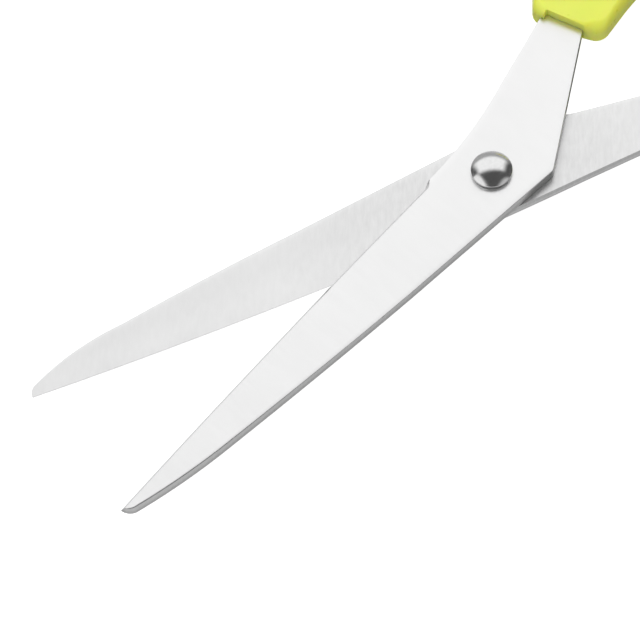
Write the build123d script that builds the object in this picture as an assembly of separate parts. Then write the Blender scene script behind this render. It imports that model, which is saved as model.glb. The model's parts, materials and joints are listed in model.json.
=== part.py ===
from build123d import *

import math
import os

# Office scissors, 8 inch size, lying flat and part open, in millimetres.
#
# Each half is drawn in its own plan, with the pivot at (0, 0), the blade's tip towards -X,
# the handle towards +X, the cutting edge on the +Y side, and +Z pointing away from the other blade.
# The thumb half keeps that side up. The finger half is the same way round, turned over about X.
# At the end everything moves so that the origin is under the middle of the object, on the table.

# Blades
TIP_REACH = 100.1  # pivot to tip
STOCK = 2.35  # thickness of the blade steel
BLADE_GAP = 0.1  # between the two inner faces
HALF_OPEN = 8.6  # degrees each blade is swung from the closed position
BEVEL_WIDTH = 1.15  # plan width of the ground cutting bevel
EDGE_LAND = 0.1  # flat left under the bevel at the cutting edge
BEVEL_RUNOUT = 2.2  # radius where the grinding wheel leaves the edge, by the heel
KINK_ROUND = 1.5  # rounding of the shoulder behind the pivot

# Pivot
SHANK_R = 2.6
PIVOT_CLEARANCE = 0.05  # radial, in the thumb blade
HEAD_R = 4.1
HEAD_RIM = 0.9  # height of the head's straight rim
HEAD_DOME = 1.5  # height of the dome above the rim
HEAD_LIFT = 0.05  # play between the head and the thumb blade
WASHER_R = 4.3
WASHER_T = 0.6
TAIL_R = 3.5
TAIL_HEIGHT = 0.95

# Handles
HANDLE_HALF = 4.8  # from the plane between the blades to a handle's broad face
EDGE_ROUND = 3.3  # rounding of the loops' edges
SOCKET_UNDER = 0.5  # plastic under the tang, from the plane between the blades
SOCKET_FLAT = 8.5  # length of the thin socket behind its mouth
SOCKET_RAMP = 12.0  # length over which it thickens to a full handle
THROAT_DEPTH = 0.9  # how far the roof stands back from the socket's mouth
TANG_HOLE_R = 2.2

INNER = BLADE_GAP / 2  # height of a blade's inner face
OUTER = INNER + STOCK  # height of a blade's outer face

# The outlines of the two blades differ: the thumb blade's tang is cranked, the finger blade's is not.
THUMB_BLADE = dict(
    edge_middle=(-50.0, 4.65),
    heel=(-11.5, 7.45),
    nose_middle=(-99.5, -1.6),
    nose=(-98.2, -2.48),
    back_nose=(-92.0, -3.65),
    back_belly=(-76.0, -5.4),
    back_middle=(-52.0, -6.75),
    back_straight=(-30.0, -7.65),
    shoulder=(8.5, -8.55),
    tang_inner=[(4.0, 9.5), (16.0, 12.8), (34.0, 18.3), (47.5, 22.4)],
    tang_outer=[(49.8, 14.8), (36.0, 9.6)],
    hole=(43.6, 16.6),
)
FINGER_BLADE = dict(
    edge_middle=(-50.0, 5.15),
    heel=(-11.5, 7.75),
    nose_middle=(-99.8, -1.2),
    nose=(-98.7, -2.2),
    back_nose=(-92.2, -4.35),
    back_belly=(-78.0, -6.1),
    back_middle=(-60.0, -7.2),
    back_straight=(-40.0, -7.85),
    shoulder=(9.0, -9.3),
    tang_inner=[(2.0, 8.2), (16.0, 8.4), (36.0, 8.8), (52.0, 9.1)],
    tang_outer=[(52.6, 0.6), (35.0, -2.2), (21.0, -5.2)],
    hole=(45.0, 4.2),
)

# A handle's plan is the hull of round corners at the socket's mouth and of the round ends of its loop,
# and its opening is the hull of smaller circles: (x, y, radius) each. The throat runs from side to side of the
# mouth, measured along it.
THUMB_HANDLE = dict(
    outline=[(35.0, 18.55, 2.9), (39.24, 8.95, 2.9), (71.5, 31.2, 19.0)],
    opening=[(58.6, 24.0, 5.2), (71.5, 31.2, 11.3)],
    mouth=(33.9, 13.4),
    mouth_turn=17.5,
    throat=(-4.65, 3.8),
)
FINGER_HANDLE = dict(
    outline=[(38.7, 9.6, 2.9), (38.5, -1.5, 2.4), (66.0, 8.6, 17.4), (85.0, 11.4, 20.0)],
    opening=[(60.0, 6.6, 6.0), (69.0, 8.6, 9.4), (85.0, 11.4, 12.3)],
    mouth=(36.0, 4.1),
    mouth_turn=2.0,
    throat=(-4.8, 4.8),
)


def wire_of(*runs):
    return Wire([edge for run in runs for edge in run.edges()])


def blade_plan(b):
    """The blade's outline seen on its outer face, as a face at the inner side's height."""
    tip = (-TIP_REACH, 0)
    inner, outer = b["tang_inner"], b["tang_outer"]
    outline = wire_of(
        ThreePointArc(tip, b["edge_middle"], b["heel"]),
        ThreePointArc(b["heel"], inner[0], inner[1]),
        Polyline(*inner[1:], *outer, b["shoulder"], b["back_straight"]),
        ThreePointArc(b["back_straight"], b["back_middle"], b["back_belly"]),
        ThreePointArc(b["back_belly"], b["back_nose"], b["nose"]),
        ThreePointArc(b["nose"], b["nose_middle"], tip),
    )
    return Pos(0, 0, INNER) * make_face(outline)


def bevel_cutter(b):
    """What the grinding wheel takes off the outer side of the cutting edge, up to its round exit at the heel."""
    edge = ThreePointArc((-TIP_REACH, 0), b["edge_middle"], b["heel"])
    ahead = edge % 1
    run_in = Line(edge @ 0 - 5 * (edge % 0), edge @ 0)
    run_out = JernArc(edge @ 1, ahead, BEVEL_RUNOUT, 75)
    low, high = INNER + EDGE_LAND, OUTER + 1
    slope = BEVEL_WIDTH / (STOCK - EDGE_LAND)
    side = BEVEL_RUNOUT / 2
    start = run_in @ 0
    across = Plane(origin=(start.X, start.Y, 0), x_dir=(-ahead.Y, ahead.X, 0), z_dir=(run_in % 0))
    section = across * make_face(
        Polyline((0, low), (-slope * (high - low), high), (side, high), (side, low), close=True)
    )
    return sweep(section, path=wire_of(run_in, edge, run_out))


def blade(b, bore_r):
    solid = extrude(blade_plan(b), amount=STOCK)
    solid = solid - bevel_cutter(b)
    upright = solid.edges().filter_by(Axis.Z)
    solid = fillet(upright.sort_by_distance((*b["shoulder"], OUTER))[0], KINK_ROUND)
    middle = (INNER + OUTER) / 2
    solid = solid - Pos(0, 0, middle) * Cylinder(bore_r, 2 * STOCK)
    return solid - Pos(*b["hole"], middle) * Cylinder(TANG_HOLE_R, 2 * STOCK)


def hull_of(circles):
    rims = [(Pos(x, y) * Circle(r)).edge() for x, y, r in circles]
    return make_hull(rims)


def under_socket():
    """What is left out under a socket, seen from its mouth: flat at first, then sloping down to full thickness."""
    ramp_end = SOCKET_FLAT + SOCKET_RAMP
    flat_end = (SOCKET_FLAT, 0, -SOCKET_UNDER)
    lowest = -HANDLE_HALF - 1
    side = Polyline(
        (-SOCKET_FLAT, 0, lowest),
        (-SOCKET_FLAT, 0, -SOCKET_UNDER),
        flat_end,
        (ramp_end, 0, -HANDLE_HALF),
        (ramp_end, 0, lowest),
        close=True,
    )
    reach = 4 * HANDLE_HALF
    wedge = extrude(make_face(side), amount=reach, both=True)
    bends = wedge.edges().filter_by(Axis.Y).sort_by_distance(flat_end)
    return fillet(bends[0], SOCKET_RAMP)


def handle(h, blade_solid):
    """A handle moulded over the tang: a loop with rounded edges, and a thinner socket at the front."""
    bottom = Pos(0, 0, -HANDLE_HALF)
    solid = bottom * extrude(hull_of(h["outline"]), amount=2 * HANDLE_HALF)
    solid = solid - bottom * extrude(hull_of(h["opening"]), amount=2 * HANDLE_HALF)
    broad = solid.faces().filter_by(Axis.Z).edges()
    solid = fillet(broad, EDGE_ROUND)

    mouth = Pos(*h["mouth"]) * Rot(0, 0, h["mouth_turn"])
    solid = solid - mouth * under_socket()
    right, left = h["throat"]
    throat = Box(2 * THROAT_DEPTH, left - right, 2 * HANDLE_HALF)
    solid = solid - mouth * Pos(0, (left + right) / 2, INNER + HANDLE_HALF) * throat
    return solid - blade_solid


def pivot_rivet():
    """Domed head over the thumb blade, a shank through both blades, and a peened tail under the washer."""
    head_z = OUTER + HEAD_LIFT
    tail_z = -OUTER - WASHER_T
    dome_r = (HEAD_R**2 + HEAD_DOME**2) / (2 * HEAD_DOME)
    tail_dome_r = (TAIL_R**2 + TAIL_HEIGHT**2) / (2 * TAIL_HEIGHT)
    top = head_z + HEAD_RIM + HEAD_DOME
    head_mid = math.sqrt(dome_r**2 - (HEAD_R / 2) ** 2) + top - dome_r
    tail_mid = tail_z - TAIL_HEIGHT + tail_dome_r - math.sqrt(tail_dome_r**2 - (TAIL_R / 2) ** 2)
    rim_top = (HEAD_R, 0, top - HEAD_DOME)
    shank = [(HEAD_R, 0, head_z), (SHANK_R, 0, head_z), (SHANK_R, 0, tail_z), (TAIL_R, 0, tail_z)]
    tail_end = (0, 0, tail_z - TAIL_HEIGHT)
    profile = wire_of(
        ThreePointArc((0, 0, top), (HEAD_R / 2, 0, head_mid), rim_top),
        Polyline(rim_top, *shank),
        ThreePointArc(shank[-1], (TAIL_R / 2, 0, tail_mid), tail_end),
        Line(tail_end, (0, 0, top)),
    )
    return revolve(make_face(profile), Axis.Z)


def rivet_washer():
    disc = Cylinder(WASHER_R, WASHER_T) - Cylinder(SHANK_R, 2 * WASHER_T)
    disc = Pos(0, 0, -OUTER - WASHER_T / 2) * disc
    return chamfer(disc.edges().filter_by(GeomType.CIRCLE).group_by(Axis.Z)[0].sort_by(SortBy.RADIUS)[-1], 0.15)


def build():
    thumb_blade = blade(THUMB_BLADE, SHANK_R + PIVOT_CLEARANCE)
    finger_blade = blade(FINGER_BLADE, SHANK_R)
    thumb_handle = handle(THUMB_HANDLE, thumb_blade)
    finger_handle = handle(FINGER_HANDLE, finger_blade)

    thumb_place = Rot(0, 0, HALF_OPEN)
    finger_place = Rot(0, 0, -HALF_OPEN) * Rot(180, 0, 0)
    nodes = {
        "thumb_blade": thumb_place * thumb_blade,
        "thumb_handle": thumb_place * thumb_handle,
        "finger_blade": finger_place * finger_blade,
        "finger_handle": finger_place * finger_handle,
        "pivot_rivet": pivot_rivet(),
        "rivet_washer": rivet_washer(),
    }
    everything = Compound([solid for node in nodes.values() for solid in node.solids()])
    centre = everything.bounding_box().center()
    to_table = Pos(-centre.X, -centre.Y, HANDLE_HALF)
    print("pivot at", to_table.position)
    return {name: to_table * solid for name, solid in nodes.items()}


os.makedirs("parts", exist_ok=True)
for name, solid in build().items():
    export_step(solid, f"parts/{name}.step")
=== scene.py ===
import json
import math

import bmesh
import bpy
import numpy as np
from mathutils import Euler, Matrix, Vector


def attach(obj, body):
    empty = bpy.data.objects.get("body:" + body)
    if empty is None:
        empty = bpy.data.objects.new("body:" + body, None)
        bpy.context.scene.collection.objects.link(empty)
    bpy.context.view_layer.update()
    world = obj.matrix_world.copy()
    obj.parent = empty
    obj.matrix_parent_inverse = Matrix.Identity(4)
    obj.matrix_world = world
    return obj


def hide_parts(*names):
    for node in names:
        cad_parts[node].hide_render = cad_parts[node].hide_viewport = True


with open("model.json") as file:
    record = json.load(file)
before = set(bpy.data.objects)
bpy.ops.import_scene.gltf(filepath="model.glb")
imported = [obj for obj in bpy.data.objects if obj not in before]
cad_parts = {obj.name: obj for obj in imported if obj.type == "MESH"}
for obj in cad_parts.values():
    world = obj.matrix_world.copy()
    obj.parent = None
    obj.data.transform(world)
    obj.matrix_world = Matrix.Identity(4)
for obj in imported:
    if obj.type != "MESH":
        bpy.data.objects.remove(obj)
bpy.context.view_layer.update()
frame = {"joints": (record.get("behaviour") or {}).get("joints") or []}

# Office scissors, lying part open. Each half is drawn in its own plan, in millimetres: the pivot at
# (0, 0), the tip towards -X, the handle towards +X, the cutting edge on the +Y side and +Z away from
# the other blade. settle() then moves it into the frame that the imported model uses, in metres.

PIVOT = Vector(frame["joints"][0]["pos_m"])
MM = 0.001

# Blades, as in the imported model
TIP_REACH = 100.1  # pivot to tip
STOCK = 2.35  # thickness of the steel
INNER = 0.05  # height of a blade's inner face
OUTER = INNER + STOCK  # height of a blade's outer face
HALF_OPEN = 8.6  # degrees each blade is swung from the closed position
BEVEL_WIDTH = 1.15
EDGE_LAND = 0.1  # flat left under the bevel
BEVEL_RUNOUT = 2.2  # radius where the bevel leaves the edge, by the heel
KINK_ROUND = 1.5  # rounding of the shoulder behind the pivot
TANG_HOLE_R = 2.2

# Blades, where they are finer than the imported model
CORNER = 0.08  # rounding of the blanked corners
BACK_CORNER = (0.36, 0.15)  # rounding between the outer face and the back, near the tip and past the middle
BACK_FADE = (-85, -45)  # where the one passes into the other
HOLLOW = 0.05  # depth of the hollow ground into the inner face
HOLLOW_LAND = 0.7  # flat kept beside the cutting edge and the back
HOLLOW_ENDS = 4.0  # flat kept at the tip and by the heel
HOLLOW_FADES = (25.0, 12.0)  # lengths over which the hollow deepens, from the tip and from the heel
BROAD_FACING = 0.9  # least upright part of a broad face's normal
BEVEL_FACING = (0.25, 0.7)  # least and greatest for the bevel's

# Pivot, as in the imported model
SHANK_R = 2.6
PIVOT_CLEARANCE = 0.05  # radial, in the thumb blade
HEAD_R = 4.1
HEAD_RIM = 0.9  # height of the head's straight rim
HEAD_DOME = 1.5  # height of the dome above the rim
HEAD_LIFT = 0.05  # play between the head and the thumb blade
WASHER_R = 4.3
WASHER_T = 0.6
TAIL_R = 3.5
TAIL_HEIGHT = 0.95

# Pivot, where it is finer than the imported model
RIVET_SOFT = 0.1  # rounding of the rivet's edges
WASHER_SOFT = 0.12  # and of the washer's
DENT_DEPTH = 0.035  # half of the greatest depth of the dents hammered into the tail

# Handles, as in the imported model
HANDLE_HALF = 4.8  # half of a handle's thickness
EDGE_ROUND = 3.3  # rounding of the loops' outer edges
SOCKET_UNDER = 0.5  # plastic under the tang
SOCKET_FLAT = 8.5  # length of the thin socket behind its mouth
SOCKET_RAMP = 12.0  # length over which it thickens to a full handle
THROAT_DEPTH = 0.9  # how far the roof stands back from the socket's mouth

# Handles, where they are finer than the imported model. Their outlines, too, are eased.
INSIDE_ROUND = 1.2 * EDGE_ROUND  # rounding of the loops' inner edges
KEPT_FACE = 0.3  # least that is left between a rounding and the middle of a broad face
THROAT_ROUND = 0.8  # rounding of the roof's edge over the throat
CHEEK_ROUND = 2.2  # rounding of the mouth's edge beside the throat
CHEEK_FADE = 1.6  # length over which the one passes into the other
FRONT_FADE = (1.5, 8.5)  # distances from the mouth between which the rounding grows to that of the loops
THROAT_CORNER = 0.25  # rounding of the throat's upright corners
CROWN = 0.35  # how much the broad faces are domed
CROWN_START = 1.0  # height above which the doming takes hold
PARTING = 0.07  # height of the mould's parting line
PARTING_HALF = 0.16  # half of its width
SIDE_HALF = 0.9  # half of the height of a side's straight part
SPACING = 0.45  # between a handle's cross-sections
EASE = 8  # cross-sections over which a handle's outline eases
HULL_STEPS = 1440  # directions in which a hull is measured
LOOP_STEPS = 2400  # angles at which a loop's length is measured

THUMB_BLADE = dict(
    edge_middle=(-50.0, 4.65),
    heel=(-11.5, 7.45),
    nose_middle=(-99.5, -1.6),
    nose=(-98.2, -2.48),
    back_nose=(-92.0, -3.65),
    back_belly=(-76.0, -5.4),
    back_middle=(-52.0, -6.75),
    back_straight=(-30.0, -7.65),
    shoulder=(8.5, -8.55),
    tang_inner=[(4.0, 9.5), (16.0, 12.8), (34.0, 18.3), (47.5, 22.4)],
    tang_outer=[(36.0, 9.6), (49.8, 14.8)],
    hole=(43.6, 16.6),
)
FINGER_BLADE = dict(
    edge_middle=(-50.0, 5.15),
    heel=(-11.5, 7.75),
    nose_middle=(-99.8, -1.2),
    nose=(-98.7, -2.2),
    back_nose=(-92.2, -4.35),
    back_belly=(-78.0, -6.1),
    back_middle=(-60.0, -7.2),
    back_straight=(-40.0, -7.85),
    shoulder=(9.0, -9.3),
    tang_inner=[(2.0, 8.2), (16.0, 8.4), (36.0, 8.8), (52.0, 9.1)],
    tang_outer=[(21.0, -5.2), (35.0, -2.2), (52.6, 0.6)],
    hole=(45.0, 4.2),
)
THUMB_HANDLE = dict(
    outline=[(35.0, 18.55, 2.9), (39.24, 8.95, 2.9), (71.5, 31.2, 19.0)],
    opening=[(58.6, 24.0, 5.2), (71.5, 31.2, 11.3)],
    centre=(68.0, 29.3),
    mouth=(33.9, 13.4),
    mouth_turn=17.5,
    throat=(-4.65, 3.8),
)
FINGER_HANDLE = dict(
    outline=[(38.7, 9.6, 2.9), (38.5, -1.5, 2.4), (66.0, 8.6, 17.4), (85.0, 11.4, 20.0)],
    opening=[(60.0, 6.6, 6.0), (69.0, 8.6, 9.4), (85.0, 11.4, 12.3)],
    centre=(76.0, 9.8),
    mouth=(36.0, 4.1),
    mouth_turn=2.0,
    throat=(-4.8, 4.8),
)

# Camera
LENS = 196.9  # millimetres
VIEW_AZIMUTH = -30.74  # degrees, like the next two
VIEW_ELEVATION = 62.2
VIEW_ROLL = -5.95
VIEW_DISTANCE = 0.675  # metres
VIEW_AIM = Vector((-0.0454, -0.005, 0.0))  # metres from the pivot

# Surroundings, as patches painted one over another: (glow, tilts, sides, softness, lean), in degrees. A tilt
# is 0 overhead and 90 at the horizon beyond the object, and a side is the angle to the right of the view. A
# patch with a lean moves that much to the left for each degree of tilt.
NEAR_GLOW = 0.72  # behind the patches, on the camera's side
FAR_GLOW = 0.18  # behind the patches, beyond the object
GLOW_BAND = 0.4  # how far to either side of overhead the one passes into the other, as a sine
SKY = [
    (0.50, (72, 103), (-46, 46), 12, 0),  # wall beyond the object
    (0.22, (-200, 200), (-100, -50), 6, 0),  # left wall
    (0.15, (-200, 200), (52, 100), 6, 0),  # right wall
    (0.10, (-62, 77), (-60, 64), 7, 0),  # dark room
    (1.22, (12, 73), (-44, 44), 9, 0),  # soft box
    (1.15, (-75, 17), (-180, -42), 8, 0.44),  # left card
    (0.70, (-80, -18), (62, 220), 11, -0.9),  # right card
    (0.85, (112, 149), (-60, 5), 5, 0),  # table beyond the object
]
BACKDROP = 1.05  # strength of the plain white that the camera sees
FLOOR_HALF = 4.0  # metres
FLOOR_GREY = 0.5
FLOOR_GLOW = 0.94
OVERHEAD_POWER = 10.5  # watts, for matt surfaces alone
OVERHEAD_SIZE = 1.6  # metres, like the next two
OVERHEAD_HEIGHT = 1.3
OVERHEAD_BEYOND = 0.3  # how far it hangs beyond the object
MARKS_TURN = 61  # degrees from the grinding marks to the blade's axis


# ---------------------------------------------------------------- meshes


def place(half):
    """The matrix from a half's own plan, in metres, to the frame."""
    if half == "thumb":
        turn = Euler((0, 0, math.radians(HALF_OPEN)))
    else:
        turn = Euler((math.pi, 0, -math.radians(HALF_OPEN)))
    return Matrix.Translation(PIVOT) @ turn.to_matrix().to_4x4()


def new_object(name, data):
    obj = bpy.data.objects.new(name, data)
    bpy.context.scene.collection.objects.link(obj)
    return obj


def settle(obj, matrix):
    """Keeps every point's place in its own plan, for the materials, and moves the mesh into the frame."""
    plan = obj.data.attributes.new("plan", "FLOAT_VECTOR", "POINT")
    plan.data.foreach_set("vector", [c for v in obj.data.vertices for c in v.co])
    obj.data.transform(matrix)


def loft(name, rings, ring_loop=False):
    """A mesh through rings of points, in millimetres, with closed ends unless the rings form a loop."""
    rings = np.asarray(rings, float) * MM
    count, size = rings.shape[:2]
    verts = rings.reshape(-1, 3)
    faces = []
    for i in range(count if ring_loop else count - 1):
        here, there = i * size, ((i + 1) % count) * size
        for j in range(size):
            k = (j + 1) % size
            faces.append((here + j, here + k, there + k, there + j))
    if not ring_loop:
        faces.append(tuple(reversed(range(size))))
        faces.append(tuple((count - 1) * size + j for j in range(size)))
    mesh = bpy.data.meshes.new(name)
    mesh.from_pydata([tuple(v) for v in verts], [], faces)
    mesh.update()
    outward(mesh)
    return mesh


def outward(mesh):
    """Turns every face outwards."""
    bm = bmesh.new()
    bm.from_mesh(mesh)
    bmesh.ops.recalc_face_normals(bm, faces=bm.faces)
    bm.to_mesh(mesh)
    bm.free()


def smooth(mesh, degrees):
    """Shades a mesh smoothly, except over edges that turn by more than the angle."""
    mesh.shade_smooth()
    mesh.set_sharp_from_angle(angle=math.radians(degrees))


def cut(obj, cutter):
    """Takes the cutter away from the object, and removes the cutter."""
    modifier = obj.modifiers.new("cut", "BOOLEAN")
    modifier.operation = "DIFFERENCE"
    modifier.solver = "EXACT"
    modifier.object = cutter
    bpy.context.view_layer.update()
    depsgraph = bpy.context.evaluated_depsgraph_get()
    result = bpy.data.meshes.new_from_object(obj.evaluated_get(depsgraph))
    obj.modifiers.clear()
    result.name = obj.data.name
    obj.data = result
    bpy.data.objects.remove(cutter)


def lathe(name, profile, steps):
    """A mesh turned about Z from (radius, height) points, in millimetres, that start and end on the axis."""
    angles = np.linspace(0, 2 * math.pi, steps, endpoint=False)
    profile = np.asarray(profile, float)
    inside = profile[1:-1]
    verts = [(0, 0, profile[0][1] * MM), (0, 0, profile[-1][1] * MM)]
    for r, z in inside:
        verts += [(r * math.cos(a) * MM, r * math.sin(a) * MM, z * MM) for a in angles]
    faces = []
    last = 2 + (len(inside) - 1) * steps
    for j in range(steps):
        k = (j + 1) % steps
        faces.append((0, 2 + j, 2 + k))
        faces.append((1, last + k, last + j))
        for i in range(len(inside) - 1):
            here, there = 2 + i * steps, 2 + (i + 1) * steps
            faces.append((here + j, there + j, there + k, here + k))
    mesh = bpy.data.meshes.new(name)
    mesh.from_pydata(verts, [], faces)
    outward(mesh)
    return mesh


def arc_points(start, middle, end, steps):
    """Points along the arc through three points, in plan."""
    a, m, b = (np.array(p, float) for p in (start, middle, end))
    centre = np.linalg.solve(2 * np.array([m - a, b - a]), np.array([m @ m - a @ a, b @ b - a @ a]))
    radius = np.linalg.norm(a - centre)
    t0, t1, t2 = (math.atan2(*(p - centre)[::-1]) for p in (a, m, b))
    t1 = t0 + (t1 - t0 + math.pi) % (2 * math.pi) - math.pi
    t2 = t1 + (t2 - t1 + math.pi) % (2 * math.pi) - math.pi
    t = np.linspace(t0, t2, steps)
    return centre + radius * np.stack([np.cos(t), np.sin(t)], 1)


def corner_points(before, corner, after, radius, steps):
    """Points round a corner between two straight lines."""
    p, c, q = (np.array(v, float) for v in (before, corner, after))
    u, v = (p - c) / np.linalg.norm(p - c), (q - c) / np.linalg.norm(q - c)
    half = math.acos(np.clip(u @ v, -1, 1)) / 2
    reach = radius / math.tan(half)
    middle = c + (u + v) / np.linalg.norm(u + v) * (radius / math.sin(half) - radius)
    return arc_points(c + u * reach, middle, c + v * reach, steps)


def ease(t):
    """A smooth step from 0 to 1."""
    return t * t * (3 - 2 * t)


# ---------------------------------------------------------------- blades


def blade_rails(b):
    """The cutting side and the back of the outline, each from the tip to the tang's end, with growing x."""
    tip = (-TIP_REACH, 0.0)
    inner, outer = b["tang_inner"], b["tang_outer"]
    cutting = np.vstack([
        arc_points(tip, b["edge_middle"], b["heel"], 120),
        arc_points(b["heel"], inner[0], inner[1], 40)[1:],
        np.array(inner[2:], float),
    ])
    back = np.vstack([
        arc_points(tip, b["nose_middle"], b["nose"], 80),
        arc_points(b["nose"], b["back_nose"], b["back_belly"], 60)[1:],
        arc_points(b["back_belly"], b["back_middle"], b["back_straight"], 50)[1:],
        corner_points(b["back_straight"], b["shoulder"], outer[0], KINK_ROUND, 9),
        np.array(outer, float),
    ])
    return cutting, back


def blade_stations(b):
    """Pairs of x on the cutting side and on the back, one pair for each cross-section."""
    nose, heel, neck, shoulder = b["nose"][0], b["heel"][0], b["tang_inner"][0][0], b["shoulder"][0]
    from_tip = np.linspace(0.1, 1, 18) ** 2  # crowded where the outline turns fastest
    pairs = [(x, x) for x in -TIP_REACH + (nose + TIP_REACH) * from_tip]
    past_bevel = heel + 3.0
    bend = 0.8  # half of the stretch over which the back turns at the shoulder
    ties = [  # x on the cutting side, x on the back, cross-sections up to there
        (heel, heel, 110),
        (past_bevel, past_bevel, 24),
        (neck, shoulder - bend, 14),
        (neck + 1.5, shoulder + bend, 10),
        (b["tang_inner"][-1][0], b["tang_outer"][-1][0], 36),
    ]
    for edge_end, back_end, steps in ties:
        edge_start, back_start = pairs[-1]
        for t in np.linspace(0, 1, steps + 1)[1:]:
            pairs.append((edge_start + (edge_end - edge_start) * t, back_start + (back_end - back_start) * t))
    return pairs


def bevel_at(b, x):
    """Width of the bevel at x: whole up to the heel, then leaving the edge along the wheel's arc."""
    past = x - b["heel"][0]
    if past <= 0:
        return BEVEL_WIDTH
    if past >= BEVEL_RUNOUT:
        return CORNER
    return max(CORNER, BEVEL_WIDTH - (BEVEL_RUNOUT - math.sqrt(BEVEL_RUNOUT**2 - past**2)))


def hollow_at(b, x):
    """Depth of the inner face's hollow at x: none at the pivot and at the tip."""
    tip_fade, heel_fade = HOLLOW_FADES
    from_tip = np.clip((x + TIP_REACH - HOLLOW_ENDS) / tip_fade, 0, 1)
    from_heel = np.clip((b["heel"][0] - HOLLOW_ENDS - x) / heel_fade, 0, 1)
    return HOLLOW * ease(from_tip) * ease(from_heel)


def blade_section(width, bevel, hollow, back_corner):
    """One cross-section as (distance from the back, height) going round from the back's inner corner."""
    face_steps, wall_steps = 14, 4
    most = width / 8  # that a rounding may take where the blade is narrow
    corner = min(CORNER, most)
    slope = BEVEL_WIDTH / (STOCK - EDGE_LAND)
    run = min(bevel, width - 2 * corner)
    crest = OUTER if run == bevel else INNER + EDGE_LAND + run / slope
    points = []
    for u in np.linspace(corner, width, face_steps + 1):
        t = np.clip((u - HOLLOW_LAND) / max(width - 2 * HOLLOW_LAND, 1e-6), 0, 1)
        points.append((u, INNER + hollow * math.sin(math.pi * t) ** 1.5))
    share = (bevel - CORNER) / (BEVEL_WIDTH - CORNER)
    height = share * run / slope + (1 - share) * corner
    for t in (0, 1 / 3, 2 / 3, 1):
        angle = t * math.pi / 2
        straight = np.array([width - run * t, crest - height * (1 - t)])
        rounded = np.array([width - corner * (1 - math.cos(angle)), crest - corner * (1 - math.sin(angle))])
        points.append(tuple(share * straight + (1 - share) * rounded))
    behind = min(back_corner, most)
    points += [(u, crest) for u in np.linspace(width - run, behind, face_steps + 1)[1:]]
    for t in (0.2, 0.4, 0.6, 0.8, 1):
        angle = t * math.pi / 2
        points.append((behind * (1 - math.sin(angle)), crest - behind * (1 - math.cos(angle))))
    points += [(0.0, z) for z in np.linspace(crest - behind, INNER + corner, wall_steps + 1)[1:]]
    for t in (1 / 3, 2 / 3):
        angle = t * math.pi / 2
        points.append((corner * (1 - math.cos(angle)), INNER + corner * (1 - math.sin(angle))))
    return points


def blade(name, b, bore_r, steels):
    """One blade: cross-sections from the nose to the tang's end, bored for the rivet and the plastic."""
    cutting, back = blade_rails(b)
    rings = []
    for x_edge, x_back in blade_stations(b):
        at_edge = np.array([x_edge, np.interp(x_edge, cutting[:, 0], cutting[:, 1])])
        at_back = np.array([x_back, np.interp(x_back, back[:, 0], back[:, 1])])
        width = np.linalg.norm(at_edge - at_back)
        across = (at_edge - at_back) / width
        back_corner = np.interp(x_back, BACK_FADE, BACK_CORNER)
        section = blade_section(width, bevel_at(b, x_edge), hollow_at(b, x_edge), back_corner)
        rings.append([(*(at_back + across * u), z) for u, z in section])
    obj = new_object(name, loft(name, rings))
    cut(obj, bore((0, 0), bore_r))
    cut(obj, bore(b["hole"], TANG_HOLE_R))
    blade_materials(obj, b, steels)
    smooth(obj.data, degrees=24)
    return obj


def bore(centre, radius):
    """The cutter for a round hole through a blade."""
    profile = [(0, INNER - 1), (radius, INNER - 1), (radius, OUTER + 1), (0, OUTER + 1)]
    mesh = lathe("bore", profile, steps=64)
    mesh.transform(Matrix.Translation((centre[0] * MM, centre[1] * MM, 0)))
    return new_object("bore", mesh)


def blade_materials(obj, b, steels):
    """The way a face looks decides its finish: ground inner face, satin outer face, bevel, blanked walls."""
    for steel in steels:
        obj.data.materials.append(steel)
    ground, satin, bevel, blanked = range(4)
    least, greatest = BEVEL_FACING
    bevel_end = (b["heel"][0] + BEVEL_RUNOUT) * MM
    for face in obj.data.polygons:
        up = face.normal.z
        if up < -BROAD_FACING:
            face.material_index = ground
        elif up > BROAD_FACING:
            face.material_index = satin
        elif least < up < greatest and face.normal.y > 0 and face.center.x < bevel_end:
            face.material_index = bevel
        else:
            face.material_index = blanked


# ---------------------------------------------------------------- pivot


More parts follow.
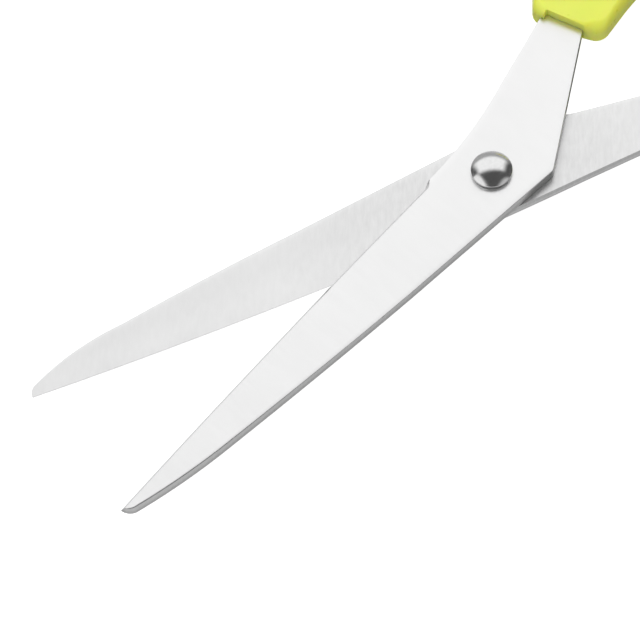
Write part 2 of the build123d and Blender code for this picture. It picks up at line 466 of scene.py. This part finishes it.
def pivot_rivet():
    """Domed head with a crisp rim, shank, and a peened tail that is not quite regular."""
    head = OUTER + HEAD_LIFT
    top = head + HEAD_RIM + HEAD_DOME
    dome_r = (HEAD_R**2 + HEAD_DOME**2) / (2 * HEAD_DOME)
    edge_angle = math.asin((HEAD_R - RIVET_SOFT) / dome_r)
    dome = [
        (dome_r * math.sin(t), top - dome_r * (1 - math.cos(t)))
        for t in np.linspace(0, edge_angle, 28)
    ]
    rim_top = dome[-1][1]
    rim = [
        (HEAD_R - 0.3 * RIVET_SOFT, rim_top - 0.5 * RIVET_SOFT),
        (HEAD_R, rim_top - 1.3 * RIVET_SOFT),
        (HEAD_R, head + 1.2 * RIVET_SOFT),
        (HEAD_R - 0.4 * RIVET_SOFT, head + 0.4 * RIVET_SOFT),
        (HEAD_R - 1.2 * RIVET_SOFT, head),
    ]
    tail = -OUTER - WASHER_T
    tail_dome_r = (TAIL_R**2 + TAIL_HEIGHT**2) / (2 * TAIL_HEIGHT)
    shank = [(SHANK_R, head), (SHANK_R, tail), (TAIL_R - RIVET_SOFT, tail), (TAIL_R, tail - RIVET_SOFT)]
    tail_angle = 0.97 * math.asin(TAIL_R / tail_dome_r)  # the dome starts a little inside the tail's side
    peen = [
        (tail_dome_r * math.sin(t), tail - TAIL_HEIGHT + tail_dome_r * (1 - math.cos(t)))
        for t in np.linspace(tail_angle, 0, 16)
    ]
    mesh = lathe("pivot_rivet", dome + rim + shank + peen, steps=128)
    for vertex in mesh.vertices:
        x, y, z = (c / MM for c in vertex.co)
        r = math.hypot(x, y)
        if z < tail - 1.5 * RIVET_SOFT and r > 0.3:
            dents = math.sin(3 * math.atan2(y, x) + 1.9 * x) * math.cos(2.3 * y + 0.6)
            vertex.co.z += DENT_DEPTH * MM * (dents + 1) * min(1, r)
    obj = new_object("pivot_rivet_visual", mesh)
    settle(obj, Matrix.Translation(PIVOT))
    obj.data.materials.append(rivet_chrome())
    smooth(obj.data, degrees=40)
    return obj


def rivet_washer():
    """A punched disc, more rounded at its lower edge."""
    low, high = -OUTER - WASHER_T, -OUTER
    soft = WASHER_SOFT
    profile = [
        (SHANK_R, low),
        (WASHER_R - 2 * soft, low),
        (WASHER_R - 0.6 * soft, low + 0.4 * soft),
        (WASHER_R, low + 1.4 * soft),
        (WASHER_R, high - soft),
        (WASHER_R - 0.3 * soft, high - 0.3 * soft),
        (WASHER_R - soft, high),
        (SHANK_R, high),
    ]
    angles = np.linspace(0, 2 * math.pi, 96, endpoint=False)
    rings = [[(r * math.cos(a), r * math.sin(a), z) for r, z in profile] for a in angles]
    obj = new_object("rivet_washer_visual", loft("rivet_washer", rings, ring_loop=True))
    settle(obj, Matrix.Translation(PIVOT))
    obj.data.materials.append(washer_steel())
    smooth(obj.data, degrees=35)
    return obj


# ---------------------------------------------------------------- handles


def hull_reach(circles, centre, angles):
    """Distance from the centre to the hull of some circles, at each angle."""
    normals = np.linspace(0, 2 * math.pi, HULL_STEPS, endpoint=False)
    unit = np.stack([np.cos(normals), np.sin(normals)], 1)
    support = np.max([(np.array((x, y)) - centre) @ unit.T + r for x, y, r in circles], axis=0)
    reach = []
    for angle in angles:
        facing = np.cos(normals - angle)
        ahead = facing > 0.02  # the sides of the hull that can end this ray
        reach.append(np.min(support[ahead] / facing[ahead]))
    return np.array(reach)


def loop_angles(circles, centre, spacing):
    """Angles about the centre that step evenly along the hull of the circles."""
    fine = np.linspace(0, 2 * math.pi, LOOP_STEPS, endpoint=False)
    reach = hull_reach(circles, centre, fine)
    points = np.stack([reach * np.cos(fine), reach * np.sin(fine)], 1)
    steps = np.linalg.norm(np.roll(points, -1, 0) - points, axis=1)
    along = np.concatenate([[0], np.cumsum(steps)])
    count = int(along[-1] / spacing)
    targets = np.linspace(0, along[-1], count, endpoint=False)
    return np.interp(targets, along, np.append(fine, 2 * math.pi))


def relax(reach, share):
    """Eases a closed outline's curvature by a share (0 to 1) at each point, and stays inside it."""
    steps = np.arange(-3 * EASE, 3 * EASE + 1)
    weights = np.exp(-((steps / EASE) ** 2) / 2)
    eased = sum(w * np.roll(reach, s) for s, w in zip(steps, weights)) / weights.sum()
    change = (eased - reach) * share
    return reach + change - change.max() * share


def handle_section(width, rounding):
    """A handle's cross-section as (distance from the opening, height), domed and with a parting line."""
    most = width / 2 - KEPT_FACE
    round_in = min(INSIDE_ROUND, most)
    round_out = min(rounding, most)
    arc_steps, face_steps = 10, 16
    upper = [(PARTING, PARTING_HALF), (PARTING, SIDE_HALF)]
    for i in range(arc_steps + 1):
        t = i / arc_steps * math.pi / 2
        u = PARTING + round_in * (1 - math.cos(t))
        upper.append((u, HANDLE_HALF - round_in + round_in * math.sin(t)))
    upper += [(u, HANDLE_HALF) for u in np.linspace(round_in, width - round_out, face_steps + 1)[1:-1]]
    for i in range(arc_steps, -1, -1):
        t = i / arc_steps * math.pi / 2
        u = width - PARTING - round_out * (1 - math.cos(t))
        upper.append((u, HANDLE_HALF - round_out + round_out * math.sin(t)))
    upper += [(width - PARTING, SIDE_HALF), (width - PARTING, PARTING_HALF)]
    domed = []
    for u, z in upper:
        side = 2 * u / width - 1
        height = max(z - CROWN_START, 0) / (HANDLE_HALF - CROWN_START)
        domed.append((u, z - CROWN * side**2 * height))
    lower = [(u, -z) for u, z in reversed(domed)]
    return [(0.0, 0.0)] + domed + [(width, 0.0)] + lower


def under_depth(past_mouth):
    """How far a handle reaches below the plane between the blades, from the socket's mouth back."""
    t = np.clip((past_mouth - SOCKET_FLAT) / SOCKET_RAMP, 0, 1)
    return SOCKET_UNDER + (HANDLE_HALF - SOCKET_UNDER) * ease(t)


def edge_rounding(h, past_mouth, across):
    """Rounding of a handle's outer edge: least over the throat, more beside it and most round the loop."""
    right, left = h["throat"]
    beside = np.clip(max(right - across, across - left) / CHEEK_FADE, 0, 1)
    front = THROAT_ROUND + (CHEEK_ROUND - THROAT_ROUND) * beside
    return np.interp(past_mouth, FRONT_FADE, (front, EDGE_ROUND))


def handle(name, h, blade_obj, plastic):
    """A loop with domed faces that widens into the socket over the tang."""
    centre = np.array(h["centre"])
    angles = loop_angles(h["outline"], centre, SPACING)
    outside = hull_reach(h["outline"], centre, angles)
    inside = hull_reach(h["opening"], centre, angles)
    turn = math.radians(h["mouth_turn"])
    inwards = np.array([math.cos(turn), math.sin(turn)])
    leftwards = np.array([-math.sin(turn), math.cos(turn)])
    directions = np.stack([np.cos(angles), np.sin(angles)], 1)
    depth = (centre + directions * outside[:, None] - h["mouth"]) @ inwards
    outside = relax(outside, np.clip((depth - SOCKET_FLAT) / SOCKET_RAMP, 0, 1))
    rings = []
    for direction, near, far in zip(directions, inside, outside):
        ring = []
        from_mouth = centre + direction * far - h["mouth"]
        rounding = edge_rounding(h, from_mouth @ inwards, from_mouth @ leftwards)
        for u, z in handle_section(far - near, rounding):
            x, y = centre + direction * (near + u)
            if z < 0:
                z *= under_depth((np.array([x, y]) - h["mouth"]) @ inwards) / HANDLE_HALF
            ring.append((x, y, z))
        rings.append(ring)
    obj = new_object(name, loft(name, rings, ring_loop=True))
    cut(obj, throat_cutter(h))
    cut(obj, new_object("tang", blade_obj.data.copy()))
    obj.data.materials.clear()
    obj.data.materials.append(plastic)
    for face in obj.data.polygons:
        face.material_index = 0
    smooth(obj.data, degrees=40)
    return obj


def throat_cutter(h):
    """The space over the tang where the socket's roof stands back from its mouth."""
    right, left = h["throat"]
    bm = bmesh.new()
    bmesh.ops.create_cube(bm, size=1.0)
    size = (2 * THROAT_DEPTH * MM, (left - right) * MM, 2 * HANDLE_HALF * MM)
    bmesh.ops.scale(bm, vec=size, verts=bm.verts)
    upright = [e for e in bm.edges if abs(e.verts[0].co.z - e.verts[1].co.z) > MM]
    bmesh.ops.bevel(bm, geom=upright, offset=THROAT_CORNER * MM, segments=4, profile=0.5, affect="EDGES")
    mesh = bpy.data.meshes.new("throat")
    bm.to_mesh(mesh)
    bm.free()
    mesh.transform(Matrix.Translation((0, (left + right) / 2 * MM, (INNER + HANDLE_HALF) * MM)))
    mesh.transform(Matrix.Rotation(math.radians(h["mouth_turn"]), 4, "Z"))
    mesh.transform(Matrix.Translation((h["mouth"][0] * MM, h["mouth"][1] * MM, 0)))
    return new_object("throat", mesh)


# ---------------------------------------------------------------- materials


class Nodes:
    """A small helper that adds nodes to a tree and links them."""

    def __init__(self, tree):
        self.tree = tree

    def add(self, kind, values=None, **settings):
        node = self.tree.nodes.new(kind)
        for key, value in settings.items():
            setattr(node, key, value)
        for key, value in (values or {}).items():
            if isinstance(value, bpy.types.NodeSocket):
                self.tree.links.new(value, node.inputs[key])
            else:
                node.inputs[key].default_value = value
        return node

    def math(self, operation, a, b=0.0):
        return self.add("ShaderNodeMath", {0: a, 1: b}, operation=operation).outputs[0]

    def spread(self, value, low, high, to_low, to_high, smooth_step=False):
        """The value with one range mapped to another, and kept inside it."""
        kind = "SMOOTHSTEP" if smooth_step else "LINEAR"
        values = {"Value": value, "From Min": low, "From Max": high, "To Min": to_low, "To Max": to_high}
        return self.add("ShaderNodeMapRange", values, interpolation_type=kind).outputs[0]

    def noise(self, vector, stretch, detail, rough=0.55):
        """Noise with the stretch's number of features in a metre, along each axis."""
        mapped = self.add("ShaderNodeMapping", {"Vector": vector, "Scale": stretch})
        values = {"Vector": mapped.outputs[0], "Scale": 1.0, "Detail": detail, "Roughness": rough}
        return self.add("ShaderNodeTexNoise", values).outputs[0]

    def tint(self, factor, low, high):
        """A colour between two others, each a socket or red, green, blue and alpha."""
        values = {"Factor": factor, "A": low, "B": high}
        return self.add("ShaderNodeMix", values, data_type="RGBA").outputs["Result"]

    def bump(self, height, distance):
        return self.add("ShaderNodeBump", {"Height": height, "Distance": distance}).outputs[0]


def grey(value):
    return (value, value, value, 1)


def new_material(name, metallic=0.0):
    """A material with the helper for its nodes, its surface shader and the piece's own plan coordinates."""
    material = bpy.data.materials.new(name)
    material.use_nodes = True
    material.node_tree.nodes.clear()
    n = Nodes(material.node_tree)
    shader = n.add("ShaderNodeBsdfPrincipled", {"Metallic": metallic})
    n.add("ShaderNodeOutputMaterial", {"Surface": shader.outputs[0]})
    coords = n.add("ShaderNodeAttribute", attribute_name="plan").outputs["Vector"]
    return material, n, shader, coords


def link(n, shader, colour, roughness, normal):
    """Gives a shader its colour, roughness and normal."""
    n.tree.links.new(colour, shader.inputs["Base Color"])
    n.tree.links.new(roughness, shader.inputs["Roughness"])
    n.tree.links.new(normal, shader.inputs["Normal"])


def satin_steel():
    """Outer faces: bright and finely finished, with a slow variation in tone that barely shows."""
    material, n, shader, coords = new_material("satin_steel", metallic=1.0)
    fine = n.noise(coords, (3200, 180, 600), detail=5, rough=0.6)
    slow = n.noise(coords, (60, 45, 60), detail=2)
    mixed = n.math("ADD", n.math("MULTIPLY", fine, 0.35), n.math("MULTIPLY", slow, 0.65))
    colour = n.tint(n.spread(mixed, 0.3, 0.7, 0, 1), grey(0.795), grey(0.825))
    link(n, shader, colour, n.spread(fine, 0.3, 0.7, 0.30, 0.36), n.bump(fine, 0.0012 * MM))
    return material


def ground_steel():
    """Inner faces: grinding marks run slantwise over the blade, strongest round the pivot, with painted shade
    there.
    """
    material, n, shader, coords = new_material("ground_steel", metallic=1.0)
    place_x = n.add("ShaderNodeSeparateXYZ", {"Vector": coords}).outputs["X"]
    near_pivot = n.spread(n.math("ABSOLUTE", place_x), 0.012, 0.05, 0.9, 0.3, True)
    turned = {"Vector": coords, "Angle": math.radians(MARKS_TURN)}
    along = n.add("ShaderNodeVectorRotate", turned, rotation_type="Z_AXIS").outputs[0]
    marks = n.noise(along, (420, 2600, 500), detail=6, rough=0.68)
    strokes = n.noise(along, (330, 1100, 200), detail=3, rough=0.5)
    slow = n.noise(coords, (50, 60, 50), detail=2)
    lines = n.math("ADD", n.math("MULTIPLY", marks, 0.5), n.math("MULTIPLY", strokes, 0.5))
    centred = n.math("MULTIPLY", n.math("SUBTRACT", lines, 0.5), near_pivot)
    # painted shade: the inner face's tone is made darker towards the pivot, where the other blade lies over it
    pivot_shade = n.spread(near_pivot, 0.3, 0.9, 0.53, 0.46)
    drift = n.math("MULTIPLY", n.math("SUBTRACT", slow, 0.5), 0.2)
    tone = n.math("ADD", n.math("ADD", centred, pivot_shade), drift)
    colour = n.tint(n.spread(tone, 0.3, 0.7, 0, 1), grey(0.665), grey(0.83))
    link(n, shader, colour, n.spread(marks, 0.3, 0.7, 0.32, 0.42), n.bump(lines, 0.005 * MM))
    return material


def bevel_steel():
    """The cutting bevel: straight from the wheel, with marks across it."""
    material, n, shader, coords = new_material("bevel_steel", metallic=1.0)
    marks = n.noise(coords, (4200, 300, 300), detail=5, rough=0.7)
    colour = n.tint(n.spread(marks, 0.3, 0.7, 0, 1), grey(0.66), grey(0.80))
    link(n, shader, colour, n.spread(marks, 0.3, 0.7, 0.22, 0.34), n.bump(marks, 0.006 * MM))
    return material


def blanked_steel():
    """Walls left by the press: a smooth sheared band near the outer face and a duller torn band below it."""
    material, n, shader, coords = new_material("blanked_steel", metallic=1.0)
    height = n.add("ShaderNodeSeparateXYZ", {"Vector": coords}).outputs["Z"]
    grain = n.noise(coords, (1500, 1500, 260), detail=5, rough=0.7)
    speck = n.noise(coords, (2600, 2600, 2600), detail=3, rough=0.6)
    wavy = n.math("ADD", height, n.math("MULTIPLY", n.math("SUBTRACT", grain, 0.5), 0.5 * MM))
    torn = n.spread(wavy, 1.0 * MM, 1.45 * MM, 1.0, 0.0, True)
    mixed = n.math("ADD", n.math("MULTIPLY", grain, 0.6), n.math("MULTIPLY", speck, 0.4))
    tone = n.spread(mixed, 0.3, 0.7, 0, 1)
    colour = n.tint(torn, n.tint(tone, grey(0.58), grey(0.68)), n.tint(tone, grey(0.50), grey(0.63)))
    rough_band = n.math("MULTIPLY", tone, torn)
    link(n, shader, colour, n.spread(torn, 0, 1, 0.30, 0.46), n.bump(rough_band, 0.012 * MM))
    return material


def rivet_chrome():
    """Polished head, very slightly clouded, with fine handling scratches."""
    material, n, shader, coords = new_material("rivet_chrome", metallic=1.0)
    cloud = n.noise(coords, (2200, 2200, 2200), detail=4, rough=0.6)
    scratch = n.noise(coords, (500, 6500, 1500), detail=3, rough=0.5)
    colour = n.tint(n.spread(cloud, 0.35, 0.65, 0, 1), grey(0.66), grey(0.71))
    link(n, shader, colour, n.spread(scratch, 0.35, 0.75, 0.13, 0.22), n.bump(scratch, 0.001 * MM))
    return material


def washer_steel():
    """Zinc-bright washer, slightly mottled."""
    material, n, shader, coords = new_material("washer_steel", metallic=1.0)
    mottle = n.noise(coords, (700, 700, 700), detail=5, rough=0.65)
    colour = n.tint(n.spread(mottle, 0.35, 0.65, 0, 1), grey(0.50), grey(0.66))
    link(n, shader, colour, n.spread(mottle, 0.3, 0.7, 0.28, 0.42), n.bump(mottle, 0.01 * MM))
    return material


def lime_plastic():
    """Moulded lime plastic: soft gloss, some light inside it, faint flow marks and fine handling scuffs."""
    material, n, shader, coords = new_material("lime_plastic")
    flow = n.noise(coords, (35, 60, 60), detail=3, rough=0.5)
    skin = n.noise(coords, (650, 650, 650), detail=3, rough=0.5)
    scuff = n.noise(coords, (1200, 120, 400), detail=4, rough=0.7)
    colour = n.tint(n.spread(flow, 0.3, 0.7, 0, 1), (0.72, 0.80, 0.10, 1), (0.81, 0.84, 0.13, 1))
    dull = n.spread(scuff, 0.5, 0.8, 0.0, 0.08, True)
    roughness = n.math("ADD", n.spread(skin, 0.3, 0.7, 0.27, 0.32), dull)
    link(n, shader, colour, roughness, n.bump(skin, 0.004 * MM))
    shader.inputs["Subsurface Weight"].default_value = 0.7
    shader.inputs["Subsurface Radius"].default_value = (1.6, 1.1, 0.3)
    shader.inputs["Subsurface Scale"].default_value = 2.4 * MM
    shader.inputs["IOR"].default_value = 1.49
    return material


# ---------------------------------------------------------------- stage


def view_axes():
    """Unit vectors at the object: towards the camera, to its right, and level and away from it."""
    a, e = math.radians(VIEW_AZIMUTH), math.radians(VIEW_ELEVATION)
    back = Vector((math.sin(a) * math.cos(e), -math.cos(a) * math.cos(e), math.sin(e)))
    right = Vector((math.cos(a), math.sin(a), 0))
    far = Vector((-math.sin(a), math.cos(a), 0))
    return back, right, far


def camera():
    """The photo's view: a long lens from above, turned a little about its axis."""
    data = bpy.data.cameras.new("camera")
    data.lens = LENS
    data.clip_start, data.clip_end = 0.01, 50
    obj = new_object("camera", data)
    back, right, _ = view_axes()
    level = Matrix((right, back.cross(right), back)).transposed()
    turned = level @ Matrix.Rotation(math.radians(VIEW_ROLL), 3, "Z")
    obj.matrix_world = Matrix.Translation(PIVOT + VIEW_AIM + back * VIEW_DISTANCE) @ turned.to_4x4()
    bpy.context.scene.camera = obj


def floor():
    """Paper that glows, so that it shows as white as the photo's background."""
    mesh = bpy.data.meshes.new("floor")
    half = FLOOR_HALF
    corners = [(-half, -half, 0), (half, -half, 0), (half, half, 0), (-half, half, 0)]
    mesh.from_pydata(corners, [], [(0, 1, 2, 3)])
    obj = new_object("floor", mesh)
    material = bpy.data.materials.new("floor_paper")
    material.use_nodes = True
    shader = material.node_tree.nodes["Principled BSDF"]
    shader.inputs["Base Color"].default_value = grey(FLOOR_GREY)
    shader.inputs["Roughness"].default_value = 0.9
    shader.inputs["Specular IOR Level"].default_value = 0.0
    shader.inputs["Emission Color"].default_value = (1, 1, 1, 1)
    shader.inputs["Emission Strength"].default_value = FLOOR_GLOW
    mesh.materials.append(material)
    obj.visible_glossy = False
    obj.visible_diffuse = False


def between(n, value, low, high, soft):
    """1 between two angles and 0 outside them, with soft ends."""
    off_centre = n.math("ABSOLUTE", n.math("SUBTRACT", value, (low + high) / 2))
    half = (high - low) / 2
    return n.spread(off_centre, half - soft, half + soft, 1, 0, True)


def sky():
    """Soft studio surroundings for reflections and soft light, behind a plain white backdrop."""
    world = bpy.data.worlds.new("studio")
    world.use_nodes = True
    world.node_tree.nodes.clear()
    bpy.context.scene.world = world
    n = Nodes(world.node_tree)
    direction = n.add("ShaderNodeTexCoord").outputs["Generated"]
    _, right, far = view_axes()
    sideways, away, height = (
        n.add("ShaderNodeVectorMath", {0: direction, 1: axis}, operation="DOT_PRODUCT").outputs["Value"]
        for axis in (right, far, Vector((0, 0, 1)))
    )
    to_degrees = 180 / math.pi
    tilt = n.math("MULTIPLY", n.math("ARCTAN2", away, height), to_degrees)
    side = n.math("MULTIPLY", n.math("ARCSINE", sideways), to_degrees)
    light = n.spread(away, -GLOW_BAND, GLOW_BAND, NEAR_GLOW, FAR_GLOW, True)
    for glow, tilts, sides, soft, lean in SKY:
        upright = n.math("ADD", side, n.math("MULTIPLY", tilt, lean))
        share = n.math("MULTIPLY", between(n, tilt, *tilts, soft), between(n, upright, *sides, soft))
        light = n.math("ADD", light, n.math("MULTIPLY", n.math("SUBTRACT", glow, light), share))
    colour = n.add("ShaderNodeCombineColor", {0: light, 1: light, 2: light}).outputs[0]
    around = n.add("ShaderNodeBackground", {"Color": colour})
    plain = n.add("ShaderNodeBackground", {"Color": grey(1), "Strength": BACKDROP})
    seen = n.add("ShaderNodeLightPath").outputs["Is Camera Ray"]
    mixed = n.add("ShaderNodeMixShader", {0: seen, 1: around.outputs[0], 2: plain.outputs[0]})
    n.add("ShaderNodeOutputWorld", {"Surface": mixed.outputs[0]})


def overhead_light():
    """A wide light for matt surfaces, which shows in no reflection."""
    data = bpy.data.lights.new("overhead", "AREA")
    data.shape = "DISK"
    data.size = OVERHEAD_SIZE
    data.energy = OVERHEAD_POWER
    obj = new_object("overhead", data)
    far = view_axes()[2]
    obj.location = PIVOT + Vector((0, 0, OVERHEAD_HEIGHT)) + far * OVERHEAD_BEYOND
    obj.visible_glossy = False


# ---------------------------------------------------------------- the whole


def finish_piece(obj, body, node):
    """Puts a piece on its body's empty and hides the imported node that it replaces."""
    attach(obj, body)
    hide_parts(node)


def build():
    """Makes the six pieces, puts each on its body and hides the imported node it replaces."""
    steels = [ground_steel(), satin_steel(), bevel_steel(), blanked_steel()]
    plastic = lime_plastic()
    thumb = blade("thumb_blade_visual", THUMB_BLADE, SHANK_R + PIVOT_CLEARANCE, steels)
    finger = blade("finger_blade_visual", FINGER_BLADE, SHANK_R, steels)
    thumb_grip = handle("thumb_handle_visual", THUMB_HANDLE, thumb, plastic)
    finger_grip = handle("finger_handle_visual", FINGER_HANDLE, finger, plastic)
    for obj in (thumb, thumb_grip):
        settle(obj, place("thumb"))
    for obj in (finger, finger_grip):
        settle(obj, place("finger"))
    finish_piece(thumb, "thumb_half", "thumb_blade")
    finish_piece(finger, "finger_half", "finger_blade")
    finish_piece(thumb_grip, "thumb_half", "thumb_handle")
    finish_piece(finger_grip, "finger_half", "finger_handle")
    finish_piece(pivot_rivet(), "finger_half", "pivot_rivet")
    finish_piece(rivet_washer(), "finger_half", "rivet_washer")


build()
floor()
sky()
overhead_light()
camera()
bpy.context.scene.view_settings.view_transform = "Standard"
